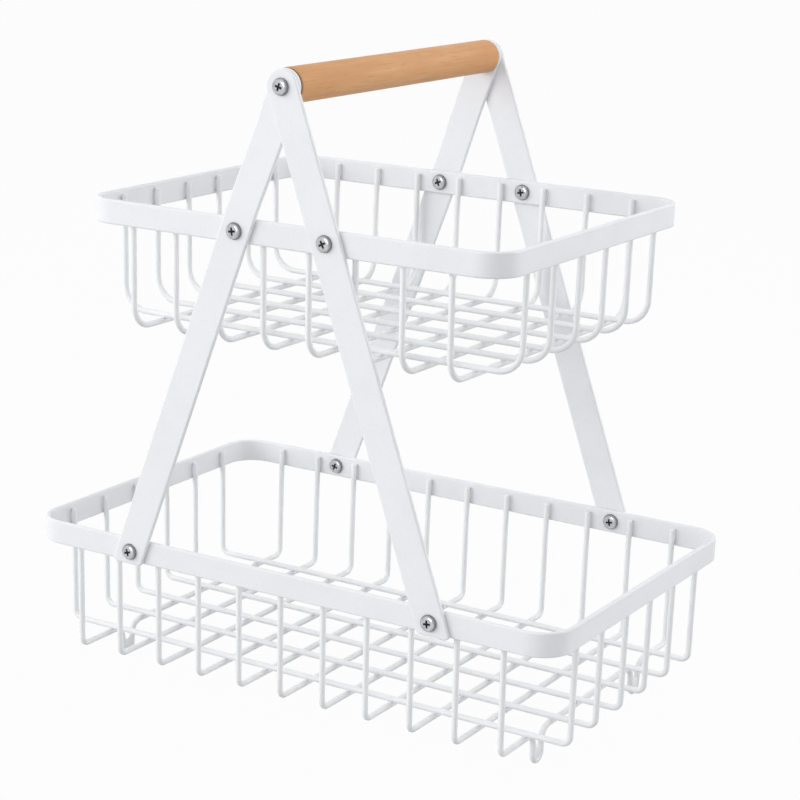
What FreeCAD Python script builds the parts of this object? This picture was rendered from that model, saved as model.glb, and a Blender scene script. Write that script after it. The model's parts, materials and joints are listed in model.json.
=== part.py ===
# Tiered wire basket: two wire baskets on two A frames of flat bar, carried by a turned wooden handle.
# Millimetres. X runs along the baskets, Y from front to back and Z up.
# The origin is on the table, under the middle.
import FreeCAD, Part
import Sketcher
import math
import os

Vector = FreeCAD.Vector

# Driving sizes: name, value, and what it measures.
SIZES = (
    ("basket_depth", 240, "both baskets, front to back over the rims"),
    ("lower_length", 384, "lower basket, end to end over the rim"),
    ("upper_length", 298, "upper basket, end to end over the rim"),
    ("lower_depth", 77.45, "lower basket, rim top down to the floor wires"),
    ("upper_depth", 74.35, "upper basket, rim top down to the floor wires"),
    ("tier_spacing", 215, "height from one rim to the other"),
    ("rim_height", 15.5, "height of the flat band of a rim"),
    ("rim_wall", 3, "thickness of the band"),
    ("rim_corner", 21, "outer radius of the rim's corners"),
    ("rim_edge", 1.3, "rounding of the band's edges"),
    ("wire_size", 3.75, "diameter of the basket wire over its coat"),
    ("wire_margin", 36, "from a rim's outer face to the first wire beside it"),
    ("wire_end_drop", 3.25, "from the rim's top down to the wire ends"),
    ("wire_end_round", 0.8, "rounding of the wire ends"),
    ("weld_gap", 0.05, "gap at each welded crossing"),
    ("wall_lean", 1, "how far a basket wall leans in on its way down"),
    ("lower_bend", 5.5, "bend radius of the lower wires, on their centre line"),
    ("upper_cross_bend", 15, "bend radius of the upper cross wires"),
    ("upper_long_bend", 16, "bend radius of the upper long wires"),
    ("foot_height", 18.8, "from the table to the underside of the lower floor"),
    ("foot_turn", 5, "radius of the turn at the bottom of a foot, on its centre line"),
    ("foot_bend", 8.5, "bend radius from the floor into a foot"),
    ("foot_flat", 0.3, "depth of the flat under a foot"),
    ("leg_width", 21, "width of the flat bar of a leg"),
    ("leg_gauge", 3, "thickness of the flat bar"),
    ("leg_tail", 0.8, "how far a leg reaches below the lower rim"),
    ("leg_corner", 2.5, "radius of a leg's lower corners"),
    ("leg_edge", 1.2, "rounding of a leg's edges"),
    ("joggle_margin", 4, "room on either side of the joggle in an inner leg"),
    ("joggle_bend", 120, "inner radius of the joggle's two bends"),
    ("head_size", 10.5, "diameter of a screw head"),
    ("head_height", 2.8, "height of a screw head"),
    ("head_round", 2.2, "rounding of a screw head's top edge"),
    ("recess_width", 1.1, "width of an arm of the cross recess"),
    ("recess_span", 4.6, "length of the cross recess"),
    ("recess_depth", 1.5, "depth of the cross recess"),
    ("thread_size", 4, "thread of the rim screws"),
    ("thread_gap", 0.1, "gap around a thread in its nut or insert"),
    ("thread_spare", 0.6, "spare depth past the end of a thread"),
    ("barrel_size", 5.4, "outer diameter of a sleeve nut's barrel"),
    ("barrel_relief", 0.4, "how much shorter a barrel is than its stack"),
    ("hole_gap", 0.15, "gap around a barrel in its hole"),
    ("grip_size", 21.5, "diameter of the wooden handle"),
    ("grip_edge", 1.6, "rounding of the handle's ends"),
    ("running_gap", 0.25, "end gap where the handle turns between the legs"),
    ("pivot_gap", 0.1, "gap around a handle screw in the holes of the legs"),
    ("grip_screw_size", 5, "thread of the handle screws"),
    ("grip_screw_reach", 11, "how deep a handle screw goes into its insert"),
    ("insert_size", 8, "outer diameter of a threaded insert"),
    ("insert_length", 14, "length of a threaded insert"),
    ("insert_gap", 0.05, "gap around an insert in the wood"),
    ("overrun", 5, "how far a cut runs past the piece"),
)
LOWER_CROSS_COUNT = 11
UPPER_CROSS_COUNT = 8
LONG_COUNT = 6
# Where the legs meet the rims and where the feet stand, as shares of the way out to the end wires.
LOWER_JOINT_SHARE = 0.705
UPPER_JOINT_SHARE = 0.282
FOOT_SHARE = 0.8

doc = FreeCAD.newDocument("tiered_wire_basket")
sheet = doc.addObject("Spreadsheet::Sheet", "Sizes")
for row, (alias, value, note) in enumerate(SIZES, start=1):
    sheet.set("A%d" % row, note)
    sheet.set("B%d" % row, str(value))
    sheet.setAlias("B%d" % row, alias)
doc.recompute()


def size(alias):
    """One driving size, read from the sheet."""
    return float(sheet.get(alias))


# Levels and places that follow from the sizes.
wire = size("wire_size")
half_depth = size("basket_depth") / 2
layer_step = wire + size("weld_gap")
lower_cross_level = size("foot_height") + wire / 2
lower_long_level = lower_cross_level + layer_step
lower_rim_top = lower_long_level + wire / 2 + size("lower_depth")
lower_rim_level = lower_rim_top - size("rim_height") / 2
upper_rim_level = lower_rim_level + size("tier_spacing")
upper_rim_top = upper_rim_level + size("rim_height") / 2
upper_long_level = upper_rim_top - size("upper_depth") - wire / 2
upper_cross_level = upper_long_level - layer_step

lower_reach = size("lower_length") / 2 - size("wire_margin")
upper_reach = size("upper_length") / 2 - size("wire_margin")
depth_reach = half_depth - size("wire_margin")
lower_joint = LOWER_JOINT_SHARE * lower_reach
upper_joint = UPPER_JOINT_SHARE * upper_reach

# A leg is straight through both joints, so the two joints place the handle's axis.
leg_slope = (lower_joint - upper_joint) / size("tier_spacing")
leg_lean = math.atan(leg_slope)
handle_level = upper_rim_level + upper_joint / leg_slope
upper_joint_reach = (handle_level - upper_rim_level) / math.cos(leg_lean)
lower_joint_reach = (handle_level - lower_rim_level) / math.cos(leg_lean)
joint_stack = size("rim_wall") + size("leg_gauge")

UPRIGHT_ALONG_X = FreeCAD.Rotation(Vector(1, 0, 0), 90)
UPRIGHT_ALONG_Y = FreeCAD.Rotation(Vector(1, 1, 1), 120)
NOWHERE = Vector(0, 0, 0)


# Sketch helpers.
def origin_plane(body, role):
    """One of the body's own origin planes, found by its role."""
    return next(plane for plane in body.Origin.OriginFeatures if plane.Role == role)


def body_sketch(body, name, role):
    """A sketch on one of the body's origin planes."""
    sketch = body.newObject("Sketcher::SketchObject", name)
    sketch.AttachmentSupport = (origin_plane(body, role), [""])
    sketch.MapMode = "FlatFace"
    return sketch


def bind(thing, **expressions):
    """Tie properties of a document object to cells of the sheet."""
    for name, expression in expressions.items():
        thing.setExpression(name, expression)


def add_rounded_rectangle(sketch, length, length_rule, width, width_rule, radius, radius_rule):
    """A rectangle about the sketch's origin with round corners, all tied to the sheet."""
    x, y = length / 2, width / 2
    flat_x, flat_y = x - radius, y - radius
    first = len(sketch.Geometry)
    runs = ((Vector(-flat_x, -y), Vector(flat_x, -y)), (Vector(x, -flat_y), Vector(x, flat_y)),
            (Vector(flat_x, y), Vector(-flat_x, y)), (Vector(-x, flat_y), Vector(-x, -flat_y)))
    centres = (Vector(flat_x, -flat_y), Vector(flat_x, flat_y),
               Vector(-flat_x, flat_y), Vector(-flat_x, -flat_y))
    quarter = math.pi / 2
    for k in range(4):
        sketch.addGeometry(Part.LineSegment(*runs[k]))
        circle = Part.Circle(centres[k], Vector(0, 0, 1), radius)
        sketch.addGeometry(Part.ArcOfCircle(circle, (k - 1) * quarter, k * quarter))
    lines = [first + 2 * k for k in range(4)]
    arcs = [first + 2 * k + 1 for k in range(4)]
    for k in range(4):
        sketch.addConstraint(Sketcher.Constraint("Tangent", lines[k], 2, arcs[k], 1))
        sketch.addConstraint(Sketcher.Constraint("Tangent", arcs[k], 2, lines[(k + 1) % 4], 1))
    for k, way in enumerate(("Horizontal", "Vertical", "Horizontal", "Vertical")):
        sketch.addConstraint(Sketcher.Constraint(way, lines[k]))
    for k in range(3):
        sketch.addConstraint(Sketcher.Constraint("Equal", arcs[k], arcs[k + 1]))
    sketch.addConstraint(Sketcher.Constraint("Symmetric", arcs[0], 3, arcs[2], 3, -1, 1))
    along = sketch.addConstraint(Sketcher.Constraint("DistanceX", lines[3], 1, lines[1], 1, length))
    across = sketch.addConstraint(Sketcher.Constraint("DistanceY", lines[0], 1, lines[2], 1, width))
    corner = sketch.addConstraint(Sketcher.Constraint("Radius", arcs[0], radius))
    for bound, rule in ((along, length_rule), (across, width_rule), (corner, radius_rule)):
        sketch.setExpression("Constraints[%d]" % bound, rule)


def add_circle(sketch, centre, diameter, diameter_rule):
    """A circle held at its centre, with its diameter tied to the sheet."""
    circle = sketch.addGeometry(Part.Circle(centre, Vector(0, 0, 1), diameter / 2))
    bound = sketch.addConstraint(Sketcher.Constraint("Diameter", circle, diameter))
    sketch.addConstraint(Sketcher.Constraint("DistanceX", -1, 1, circle, 3, centre.x))
    sketch.addConstraint(Sketcher.Constraint("DistanceY", -1, 1, circle, 3, centre.y))
    sketch.setExpression("Constraints[%d]" % bound, diameter_rule)


def add_rounded_path(sketch, corners, radii, closed=False):
    """Straight runs through the corners, with a tangent arc of its own radius in each corner that has one."""
    count = len(corners)
    arrive = list(corners)
    leave = list(corners)
    arcs = {}
    for k, radius in enumerate(radii):
        if not radius:
            continue
        back = (corners[k - 1] - corners[k]).normalize()
        ahead = (corners[(k + 1) % count] - corners[k]).normalize()
        half_angle = back.getAngle(ahead) / 2
        arrive[k] = corners[k] + back * (radius / math.tan(half_angle))
        leave[k] = corners[k] + ahead * (radius / math.tan(half_angle))
        centre = corners[k] + (back + ahead).normalize() * (radius / math.sin(half_angle))
        first, last = arrive[k] - centre, leave[k] - centre
        if back.cross(ahead).z > 0:
            first, last = last, first
        start = math.atan2(first.y, first.x)
        turn = (math.atan2(last.y, last.x) - start) % (2 * math.pi)
        arcs[k] = Part.ArcOfCircle(Part.Circle(centre, Vector(0, 0, 1), radius), start, start + turn)
    for k in range(count):
        if k in arcs:
            sketch.addGeometry(arcs[k])
        following = (k + 1) % count
        last_of_open = not closed and k == count - 1
        if not last_of_open and not leave[k].isEqual(arrive[following], size("weld_gap")):
            sketch.addGeometry(Part.LineSegment(leave[k], arrive[following]))


def edge_names(shape, wanted):
    """Names of the edges of a shape that pass a test."""
    return ["Edge%d" % k for k, edge in enumerate(shape.Edges, start=1) if wanted(edge)]


def rounded_edges(name, base, radius, wanted):
    """The base with one rounding on each edge that passes a test."""
    doc.recompute()
    rounded = doc.addObject("Part::Fillet", name)
    rounded.Base = base
    rounded.Edges = [(k, radius, radius) for k, edge in enumerate(base.Shape.Edges, start=1) if wanted(edge)]
    return rounded


def drum(name, radius_rule, height_rule, base=NOWHERE, rotation=FreeCAD.Rotation()):
    """A cylinder with its radius and height tied to the sheet."""
    cylinder = doc.addObject("Part::Cylinder", name)
    bind(cylinder, Radius=radius_rule, Height=height_rule)
    cylinder.Placement = FreeCAD.Placement(base, rotation)
    return cylinder


def cut(name, base, *tools):
    """The base with every tool cut out of it."""
    for k, tool in enumerate(tools):
        piece = doc.addObject("Part::Cut", "%s_%d" % (name, k))
        piece.Base = base
        piece.Tool = tool
        base = piece
    return base


def fuse(name, base, tool):
    """Two solids joined into one."""
    piece = doc.addObject("Part::Fuse", name)
    piece.Base = base
    piece.Tool = tool
    return piece


nodes = []


def keep(piece, label):
    """Give a finished piece its own label and put it on the list of pieces."""
    piece.Label = label
    nodes.append(piece)
    return piece


def group(label, master, places):
    """Copies of one finished fastener, as separate solids of one node."""
    doc.recompute()
    copies = []
    for k, place in enumerate(places):
        copy = doc.addObject("Part::Feature", "%s_copy_%d" % (label, k))
        copy.Shape = master.Shape.copy()
        copy.Placement = place
        copies.append(copy)
    together = doc.addObject("Part::Compound", label + "_group")
    together.Links = copies
    return keep(together, label)


# Rims: a flat band bent into a rounded rectangle and drilled for the legs.
def rim(label, length_name, level, joint):
    """One rim, with its edges rounded and a hole for each leg."""
    body = doc.addObject("PartDesign::Body", label + "_body")
    length, depth = size(length_name), size("basket_depth")
    wall, corner = size("rim_wall"), size("rim_corner")
    plan = body_sketch(body, label + "_plan", "XY_Plane")
    length_rule = "Sizes." + length_name
    add_rounded_rectangle(plan, length, length_rule, depth, "Sizes.basket_depth", corner, "Sizes.rim_corner")
    add_rounded_rectangle(plan, length - 2 * wall, length_rule + " - 2 * Sizes.rim_wall",
                          depth - 2 * wall, "Sizes.basket_depth - 2 * Sizes.rim_wall",
                          corner - wall, "Sizes.rim_corner - Sizes.rim_wall")
    band = body.newObject("PartDesign::Pad", label + "_band")
    band.Profile = plan
    band.Midplane = True
    bind(band, Length="Sizes.rim_height")
    doc.recompute()
    eased = body.newObject("PartDesign::Fillet", label + "_eased")
    brink = size("rim_height") / 2
    eased.Base = (band, edge_names(band.Shape, lambda edge: math.isclose(abs(edge.CenterOfMass.z), brink)))
    bind(eased, Radius="Sizes.rim_edge")
    holes = body_sketch(body, label + "_holes", "XZ_Plane")
    for sign in (-1, 1):
        add_circle(holes, Vector(sign * joint, 0, 0), size("barrel_size") + 2 * size("hole_gap"),
                   "Sizes.barrel_size + 2 * Sizes.hole_gap")
    drilled = body.newObject("PartDesign::Pocket", label + "_drilled")
    drilled.Profile = holes
    drilled.Type = "ThroughAll"
    drilled.Midplane = True
    body.Placement.Base = Vector(0, 0, level)
    return keep(body, label)


# Wires: each is one length of round wire, bent in its own upright plane.
def bent_wire(name, corners, radii, base, rotation):
    """A round wire along a path of straight runs and bends, with rounded ends."""
    path = doc.addObject("Sketcher::SketchObject", name + "_path")
    path.Placement = FreeCAD.Placement(base, rotation)
    add_rounded_path(path, corners, radii)
    section = doc.addObject("Part::Circle", name + "_section")
    bind(section, Radius="Sizes.wire_size / 2")
    heading = rotation.multVec(corners[1] - corners[0])
    facing = FreeCAD.Rotation(Vector(0, 0, 1), heading)
    section.Placement = FreeCAD.Placement(base + rotation.multVec(corners[0]), facing)
    doc.recompute()
    rod = doc.addObject("Part::Sweep", name + "_rod")
    rod.Sections = [section]
    rod.Spine = (path, ["Edge%d" % k for k in range(1, len(path.Shape.Edges) + 1)])
    rod.Solid = True
    ends = [base + rotation.multVec(corner) for corner in (corners[0], corners[-1])]
    return rounded_edges(name + "_rounded", rod, size("wire_end_round"), lambda edge: any(
        edge.CenterOfMass.isEqual(end, size("weld_gap")) for end in ends))


def basket_profile(half_span, rim_top, floor_level, bend):
    """Corners and radii of a wire that runs down one wall, across the floor and up the other wall."""
    wall_top = half_span - size("rim_wall") - size("weld_gap") - wire / 2
    wall_foot = wall_top - size("wall_lean")
    top = rim_top - size("wire_end_drop")
    corners = [Vector(-wall_top, top), Vector(-wall_foot, floor_level),
               Vector(wall_foot, floor_level), Vector(wall_top, top)]
    return corners, [0, bend, bend, 0]


def foot_corners(place, floor_level):
    """Corners and radii of one foot, a loop that dips from the floor wire to the table and comes back up."""
    turn = size("foot_turn")
    low = wire / 2 - size("foot_flat")
    corners = [Vector(place - turn, floor_level), Vector(place - turn, low),
               Vector(place + turn, low), Vector(place + turn, floor_level)]
    return corners, [size("foot_bend"), turn, turn, size("foot_bend")]


def spread(count, reach):
    """Evenly spaced places from one end wire to the other."""
    return [(2 * k / (count - 1) - 1) * reach for k in range(count)]


def cross_wire(label, place, rim_top, floor_level, bend):
    """A wire that runs from front to back."""
    corners, radii = basket_profile(half_depth, rim_top, floor_level, bend)
    return keep(bent_wire(label, corners, radii, Vector(place, 0, 0), UPRIGHT_ALONG_Y), label)


def long_wire(label, place, length_name, rim_top, floor_level, bend):
    """A wire that runs from end to end, on top of the cross wires."""
    corners, radii = basket_profile(size(length_name) / 2, rim_top, floor_level, bend)
    return keep(bent_wire(label, corners, radii, Vector(0, place, 0), UPRIGHT_ALONG_X), label)


def foot_wire(label, place):
    """An end wire of the lower basket, which dips into two feet with small flats to stand on."""
    corners, radii = basket_profile(half_depth, lower_rim_top, lower_cross_level, size("lower_bend"))
    for far_side in (-1, 1):
        loop, bends = foot_corners(far_side * FOOT_SHARE * depth_reach, lower_cross_level)
        corners[-2:-2] = loop
        radii[-2:-2] = bends
    looped = bent_wire(label, corners, radii, Vector(place, 0, 0), UPRIGHT_ALONG_Y)
    below = doc.addObject("Part::Box", label + "_table")
    bind(below, Length="2 * Sizes.wire_size", Width="Sizes.basket_depth", Height="Sizes.overrun")
    below.Placement.Base = Vector(place - wire, -half_depth, -size("overrun"))
    return keep(cut(label + "_standing", looped, below), label)


# Legs: flat bar with a round upper end. The inner legs step in behind the outer ones to lap at the handle.
def leg(label, side, lean_way, inner):
    """One leg. Side is -1 in front and 1 behind, and lean_way is the end of the basket that it leans to."""
    half_width = size("leg_width") / 2
    gauge = size("leg_gauge")
    tail_level = lower_rim_level - size("rim_height") / 2 - size("leg_tail")
    tail = (tail_level - handle_level) / math.cos(leg_lean)
    skew = lean_way * half_width * leg_slope
    tilt = FreeCAD.Rotation(Vector(0, 1, 0), -lean_way * math.degrees(leg_lean))
    start = Vector(0, side * half_depth, handle_level)
    outline = doc.addObject("Sketcher::SketchObject", label + "_outline")
    outline.Placement = FreeCAD.Placement(start, tilt * UPRIGHT_ALONG_X)
    add_rounded_path(outline, [Vector(half_width, half_width), Vector(-half_width, half_width),
                               Vector(-half_width, tail + skew), Vector(half_width, tail - skew)],
                     [half_width, half_width, size("leg_corner"), size("leg_corner")], closed=True)
    add_circle(outline, NOWHERE, size("grip_screw_size") + 2 * size("pivot_gap"),
               "Sizes.grip_screw_size + 2 * Sizes.pivot_gap")
    for reach in (upper_joint_reach, lower_joint_reach):
        add_circle(outline, Vector(0, -reach), size("barrel_size") + 2 * size("hole_gap"),
                   "Sizes.barrel_size + 2 * Sizes.hole_gap")
    bar = doc.addObject("Part::Extrusion", label + "_bar")
    bar.Base = outline
    bar.DirMode = "Custom"
    bar.Dir = Vector(0, side, 0)
    bar.Solid = True
    bind(bar, LengthFwd="Sizes.leg_gauge")
    if inner:
        bind(bar, LengthRev="Sizes.leg_gauge")
        lap_end = half_width / leg_slope + size("joggle_margin")
        seat_start = upper_joint_reach - size("rim_height") / 2 / math.cos(leg_lean) - half_width * leg_slope
        joggle_end = seat_start - size("joggle_margin")
        shift = gauge * math.tan(math.atan2(gauge, joggle_end - lap_end) / 2)
        past = size("overrun")
        faces = [Vector(-gauge, half_width + past), Vector(0, half_width + past),
                 Vector(0, -lap_end), Vector(gauge, -joggle_end),
                 Vector(gauge, tail - past), Vector(0, tail - past),
                 Vector(0, -joggle_end - shift), Vector(-gauge, -lap_end - shift)]
        tight = size("joggle_bend")
        wide = tight + gauge
        profile = doc.addObject("Sketcher::SketchObject", label + "_profile")
        out = Vector(0, side, 0)
        up = tilt.multVec(Vector(0, 0, 1))
        profile.Placement = FreeCAD.Placement(start, FreeCAD.Rotation(out, up, out.cross(up), "XYZ"))
        add_rounded_path(profile, faces, [0, 0, wide, tight, 0, 0, wide, tight], closed=True)
        joggled = doc.addObject("Part::Extrusion", label + "_joggled")
        joggled.Base = profile
        joggled.DirMode = "Normal"
        joggled.Symmetric = True
        joggled.Solid = True
        bind(joggled, LengthFwd="Sizes.leg_width + 2 * Sizes.overrun")
        common = doc.addObject("Part::Common", label + "_common")
        common.Base = bar
        common.Tool = joggled
        bar = common
    hole_reach = half_width / 2
    axes = [start + tilt.multVec(Vector(0, 0, -reach)) for reach in (0, upper_joint_reach, lower_joint_reach)]

    def is_outline(edge):
        """True for an edge along the bar's outline, false across its thickness or round a hole."""
        middle = edge.CenterOfMass
        across = edge.BoundBox.YLength > gauge / 2 and edge.Length < 2 * gauge
        off_axis = min(math.hypot(middle.x - axis.x, middle.z - axis.z) for axis in axes)
        round_a_hole = edge.isClosed() and off_axis < hole_reach
        return not across and not round_a_hole

    return keep(rounded_edges(label + "_eased", bar, size("leg_edge"), is_outline), label)


# Fasteners: pan heads with a cross recess, made at the origin with the head up and the shank down.
def pan_head(name, shank_rule, length_rule):
    """A pan head on a plain shank, before its recess is cut."""
    head = drum(name + "_head", "Sizes.head_size / 2", "Sizes.head_height")
    half_height = size("head_height") / 2
    domed = rounded_edges(name + "_domed", head, size("head_round"),
                          lambda edge: edge.CenterOfMass.z > half_height)
    shank = drum(name + "_shank", shank_rule, length_rule, rotation=FreeCAD.Rotation(Vector(1, 0, 0), 180))
    return fuse(name + "_blank", domed, shank)


def cross_recess(name):
    """The two arms of a cross recess, down from the top of a head."""
    arms = []
    span, width = size("recess_span"), size("recess_width")
    for way, (along, across) in enumerate((("span", "width"), ("width", "span"))):
        arm = doc.addObject("Part::Box", "%s_arm_%d" % (name, way))
        bind(arm, Length="Sizes.recess_" + along, Width="Sizes.recess_" + across,
             Height="Sizes.recess_depth + Sizes.overrun")
        reach = (span, width) if along == "span" else (width, span)
        arm.Placement.Base = Vector(-reach[0] / 2, -reach[1] / 2, size("head_height") - size("recess_depth"))
        arms.append(arm)
    return arms


def rim_screw_master():
    """A short machine screw that holds a leg to a rim."""
    blank = pan_head("rim_screw", "Sizes.thread_size / 2", "Sizes.rim_wall + Sizes.leg_gauge")
    return cut("rim_screw_recessed", blank, *cross_recess("rim_screw"))


def sleeve_nut_master():
    """A barrel with a like head, threaded inside for the rim screw."""
    blank = pan_head("sleeve_nut", "Sizes.barrel_size / 2",
                     "Sizes.rim_wall + Sizes.leg_gauge - Sizes.barrel_relief")
    depth_rule = "Sizes.rim_wall + Sizes.leg_gauge + Sizes.thread_spare"
    bore = drum("sleeve_nut_bore", "Sizes.thread_size / 2 + Sizes.thread_gap", depth_rule,
                base=Vector(0, 0, -joint_stack))
    return cut("sleeve_nut_recessed", blank, bore, *cross_recess("sleeve_nut"))


def handle_screw_master():
    """A longer screw that passes both legs and turns with the handle."""
    stack_rule = "2 * Sizes.leg_gauge + 2 * Sizes.running_gap"
    blank = pan_head("handle_screw", "Sizes.grip_screw_size / 2", stack_rule + " + Sizes.grip_screw_reach")
    return cut("handle_screw_recessed", blank, *cross_recess("handle_screw"))


def facing_out(side):
    """Turn a fastener made on Z so that its head points to the front or to the back."""
    return FreeCAD.Rotation(Vector(0, 0, 1), Vector(0, side, 0))


def joint_places(head_reach, head_side):
    """Where the rim fasteners sit: head_side is 1 for heads outside and -1 for heads inside the rims."""
    places = []
    for level, joint in ((lower_rim_level, lower_joint), (upper_rim_level, upper_joint)):
        for side in (-1, 1):
            for end in (-1, 1):
                place = Vector(end * joint, side * head_reach, level)
                places.append(FreeCAD.Placement(place, facing_out(side * head_side)))
    return places


# Handle: a turned dowel with a threaded insert in each end.
def handle_pieces():
    """The wooden grip, its inserts and its screws, which turn together."""
    lying = FreeCAD.Rotation(Vector(1, 0, 0), -90)
    end_reach = half_depth - size("leg_gauge") - size("running_gap")
    length_rule = "Sizes.basket_depth - 2 * Sizes.leg_gauge - 2 * Sizes.running_gap"
    dowel = drum("grip_dowel", "Sizes.grip_size / 2", length_rule,
                 base=Vector(0, -end_reach, handle_level), rotation=lying)
    eased = rounded_edges("grip_eased", dowel, size("grip_edge"), lambda edge: edge.isClosed())
    sockets = []
    for side in (-1, 1):
        inward = FreeCAD.Rotation(Vector(0, 0, 1), Vector(0, -side, 0))
        mouth = Vector(0, side * end_reach, handle_level)
        sockets.append(drum("grip_socket_%d" % len(sockets), "Sizes.insert_size / 2 + Sizes.insert_gap",
                            "Sizes.insert_length + Sizes.thread_spare", base=mouth, rotation=inward))
    keep(cut("grip_drilled", eased, *sockets), "handle_grip")
    sleeve = drum("insert_sleeve", "Sizes.insert_size / 2", "Sizes.insert_length")
    bore = drum("insert_bore", "Sizes.grip_screw_size / 2 + Sizes.thread_gap", "Sizes.insert_length")
    seat = half_depth + size("leg_gauge") + size("running_gap")
    inserts, screws = [], []
    for side in (-1, 1):
        inserts.append(FreeCAD.Placement(Vector(0, side * end_reach, handle_level), facing_out(-side)))
        screws.append(FreeCAD.Placement(Vector(0, side * seat, handle_level), facing_out(side)))
    group("handle_inserts", cut("insert_bored", sleeve, bore), inserts)
    group("handle_screws", handle_screw_master(), screws)


rim("lower_rim", "lower_length", lower_rim_level, lower_joint)
rim("upper_rim", "upper_length", upper_rim_level, upper_joint)

lower_bend = size("lower_bend")
for number, place in enumerate(spread(LOWER_CROSS_COUNT, lower_reach), start=1):
    if number in (1, LOWER_CROSS_COUNT):
        foot_wire("lower_foot_wire_%02d" % number, place)
    else:
        label = "lower_cross_wire_%02d" % number
        cross_wire(label, place, lower_rim_top, lower_cross_level, lower_bend)
for number, place in enumerate(spread(UPPER_CROSS_COUNT, upper_reach), start=1):
    label = "upper_cross_wire_%02d" % number
    cross_wire(label, place, upper_rim_top, upper_cross_level, size("upper_cross_bend"))
for number, place in enumerate(spread(LONG_COUNT, depth_reach), start=1):
    label = "lower_long_wire_%02d" % number
    long_wire(label, place, "lower_length", lower_rim_top, lower_long_level, lower_bend)
    label = "upper_long_wire_%02d" % number
    long_wire(label, place, "upper_length", upper_rim_top, upper_long_level, size("upper_long_bend"))

for side, where in ((-1, "front"), (1, "back")):
    leg(where + "_left_leg", side, -1, inner=True)
    leg(where + "_right_leg", side, 1, inner=False)

group("rim_screws", rim_screw_master(), joint_places(half_depth + size("leg_gauge"), 1))
group("sleeve_nuts", sleeve_nut_master(), joint_places(half_depth - size("rim_wall"), -1))
handle_pieces()

doc.recompute()
for thing in doc.Objects:
    if "Invalid" in thing.State or "Error" in thing.State:
        raise RuntimeError("%s did not build: %s" % (thing.Label, thing.State))
for piece in nodes:
    if piece.Shape.isNull() or not piece.Shape.isValid() or not piece.Shape.Solids:
        raise RuntimeError("%s has no valid solid" % piece.Label)
os.makedirs("parts", exist_ok=True)
for piece in nodes:
    piece.Shape.exportStep("parts/%s.step" % piece.Label)
    print("%s: %d solids, %.1f cubic mm" % (piece.Label, len(piece.Shape.Solids), piece.Shape.Volume))
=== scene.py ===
"""Looks of a tiered wire basket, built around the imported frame.

The wires, weld beads, foot webs, fasteners and wooden handle are numpy surfaces: profiles carried along paths,
grids and revolved outlines. The flat bands and bars keep their solids and get a coated finish. Metres, with Z up.
"""
from __future__ import annotations

import json
import logging
import math
from dataclasses import dataclass, field
from enum import Enum

import bpy
import numpy as np
from mathutils import Matrix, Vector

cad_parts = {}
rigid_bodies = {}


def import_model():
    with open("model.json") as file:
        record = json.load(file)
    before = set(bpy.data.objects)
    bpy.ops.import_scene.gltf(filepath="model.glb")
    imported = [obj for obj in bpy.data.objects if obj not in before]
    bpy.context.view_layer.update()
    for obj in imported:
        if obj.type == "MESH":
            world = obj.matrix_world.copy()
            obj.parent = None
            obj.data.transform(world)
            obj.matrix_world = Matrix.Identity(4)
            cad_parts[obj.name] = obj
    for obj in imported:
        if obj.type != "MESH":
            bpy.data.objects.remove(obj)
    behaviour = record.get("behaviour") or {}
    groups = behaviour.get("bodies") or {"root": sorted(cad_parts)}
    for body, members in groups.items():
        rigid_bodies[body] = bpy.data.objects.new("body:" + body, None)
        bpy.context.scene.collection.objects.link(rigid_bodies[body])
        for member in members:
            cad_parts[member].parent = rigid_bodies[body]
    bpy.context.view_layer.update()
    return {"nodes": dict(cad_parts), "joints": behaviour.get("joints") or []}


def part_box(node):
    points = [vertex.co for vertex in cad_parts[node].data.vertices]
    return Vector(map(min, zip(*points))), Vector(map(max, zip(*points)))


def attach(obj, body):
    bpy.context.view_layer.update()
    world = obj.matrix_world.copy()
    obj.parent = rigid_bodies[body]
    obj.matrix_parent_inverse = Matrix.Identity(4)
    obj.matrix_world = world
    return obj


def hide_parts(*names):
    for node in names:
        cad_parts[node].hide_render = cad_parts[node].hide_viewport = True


LOG = logging.getLogger("tiered_wire_basket")
MM = 0.001
FRAME_BODY = "basket_frame"
HANDLE_BODY = "handle"
UP = np.array([0.0, 0.0, 1.0])

# The rims' band, the bends of the wires at the floor of each basket, and the angle past which an edge is shaded sharp
BAND_WALL = 3 * MM
LOWER_BEND = 5.5 * MM
UPPER_CROSS_BEND = 15 * MM
UPPER_LONG_BEND = 16 * MM
CREASE = math.radians(40)

# A remap holds the range that a value comes from and the range that it goes to
Triple = tuple[float, float, float]
Colour = Triple
Remap = tuple[float, float, float, float]
WHITE: Colour = (1.0, 1.0, 1.0)

# The sockets of a Mix node that is set to colours: the amount with the two colours, and the result
MIX_INPUTS = (0, 6, 7)
MIX_RESULT = 2


class Slot(Enum):
    """The record's material slots, one for each kind of finish on the new pieces."""

    COAT = "white_coat"
    WOOD = "beech"
    ZINC = "zinc_steel"


class Run(Enum):
    """The way that a basket wire runs: the axis that it follows and the axis that it is spaced along."""

    CROSS = (1, 0)
    LONG = (0, 1)

    @property
    def along(self) -> np.ndarray:
        """Unit vector that the wire follows."""
        return np.eye(3)[self.value[0]]

    @property
    def across(self) -> np.ndarray:
        """Unit vector from one wire to the next."""
        return np.eye(3)[self.value[1]]


# Surfaces


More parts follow.
